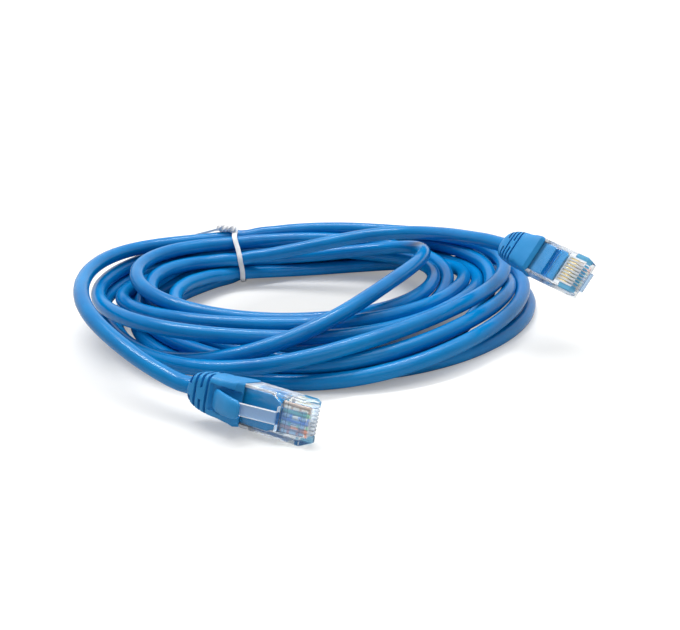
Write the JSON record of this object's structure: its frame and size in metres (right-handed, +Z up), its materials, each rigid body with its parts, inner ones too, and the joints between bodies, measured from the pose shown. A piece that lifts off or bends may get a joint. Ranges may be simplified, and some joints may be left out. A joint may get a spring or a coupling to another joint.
{
  "type": "ethernet patch cable",
  "caption": "Coiled round network patch cable held by a twist tie, with a clear modular plug, latch and snag-proof boot on each end.",
  "frame": {"origin": "centre of the object's footprint, on the surface that it lies on", "axes": "+X along the coil's longer side, from the side of the tie to the side of plug B; +Y away from plug A; +Z up"},
  "size_m": [0.1608, 0.1484, 0.036],
  "materials": {
    "cable_jacket": "semi-gloss flexible jacket",
    "boot_plastic": "satin moulded plastic",
    "clear_plastic": "clear polished plastic",
    "gold_contact": "gold-plated",
    "wire_orange": "conductor insulation, orange pair",
    "wire_green": "conductor insulation, green pair",
    "wire_blue": "conductor insulation, blue pair",
    "wire_brown": "conductor insulation, brown pair",
    "tie_plastic": "white plastic strip",
    "tie_steel": "soft wire"
  },
  "bodies": {
    "cable_and_plugs": {"plug_housing_a": "clear_plastic", "contacts_a": "gold_contact", "wire_guide_a": "clear_plastic", "crimp_wedge_a": "clear_plastic", "wires_orange_a": "wire_orange", "wires_green_a": "wire_green", "wires_blue_a": "wire_blue", "wires_brown_a": "wire_brown", "jacket_end_a": "cable_jacket", "boot_insert_a": "boot_plastic", "boot_a": "boot_plastic", "plug_housing_b": "clear_plastic", "contacts_b": "gold_contact", "wire_guide_b": "clear_plastic", "crimp_wedge_b": "clear_plastic", "wires_orange_b": "wire_orange", "wires_green_b": "wire_green", "wires_blue_b": "wire_blue", "wires_brown_b": "wire_brown", "jacket_end_b": "cable_jacket", "boot_insert_b": "boot_plastic", "boot_b": "boot_plastic", "cable_coil": "cable_jacket", "cable_lead_a": "cable_jacket", "cable_lead_b": "cable_jacket", "tie_strap": "tie_plastic", "tie_wire": "tie_steel", "tie_twist": "tie_plastic"},
    "latch_a": {"latch_a": "clear_plastic"},
    "flap_a": {"boot_flap_a": "boot_plastic"},
    "latch_b": {"latch_b": "clear_plastic"},
    "flap_b": {"boot_flap_b": "boot_plastic"}
  },
  "joints": [
    {"name": "latch_a_hinge", "type": "hinge", "parent": "cable_and_plugs", "child": "latch_a", "pos_m": [-0.00608, -0.07292, 0.00762], "axis": [-0.1848, -0.234, -0.9545], "range_deg": [0, 7.3], "stiffness_Nm_per_rad": 0.002},
    {"name": "flap_a_hinge", "type": "hinge", "parent": "cable_and_plugs", "child": "flap_a", "pos_m": [-0.02972, -0.06221, 0.00957], "axis": [0.1848, 0.234, 0.9545], "range_deg": [0, 13], "stiffness_Nm_per_rad": 0.002},
    {"name": "latch_b_hinge", "type": "hinge", "parent": "cable_and_plugs", "child": "latch_b", "pos_m": [0.07694, -0.01538, 0.02416], "axis": [0.5473, 0.3229, 0.7722], "range_deg": [0, 7.3], "stiffness_Nm_per_rad": 0.002},
    {"name": "flap_b_hinge", "type": "hinge", "parent": "cable_and_plugs", "child": "flap_b", "pos_m": [0.06157, 0.0055, 0.02632], "axis": [-0.5473, -0.3229, -0.7722], "range_deg": [0, 13], "stiffness_Nm_per_rad": 0.002}
  ],
  "couplings": [
    {"joint": "latch_a_hinge", "follows": "flap_a_hinge", "ratio": 0.55556},
    {"joint": "latch_b_hinge", "follows": "flap_b_hinge", "ratio": 0.55556}
  ]
}
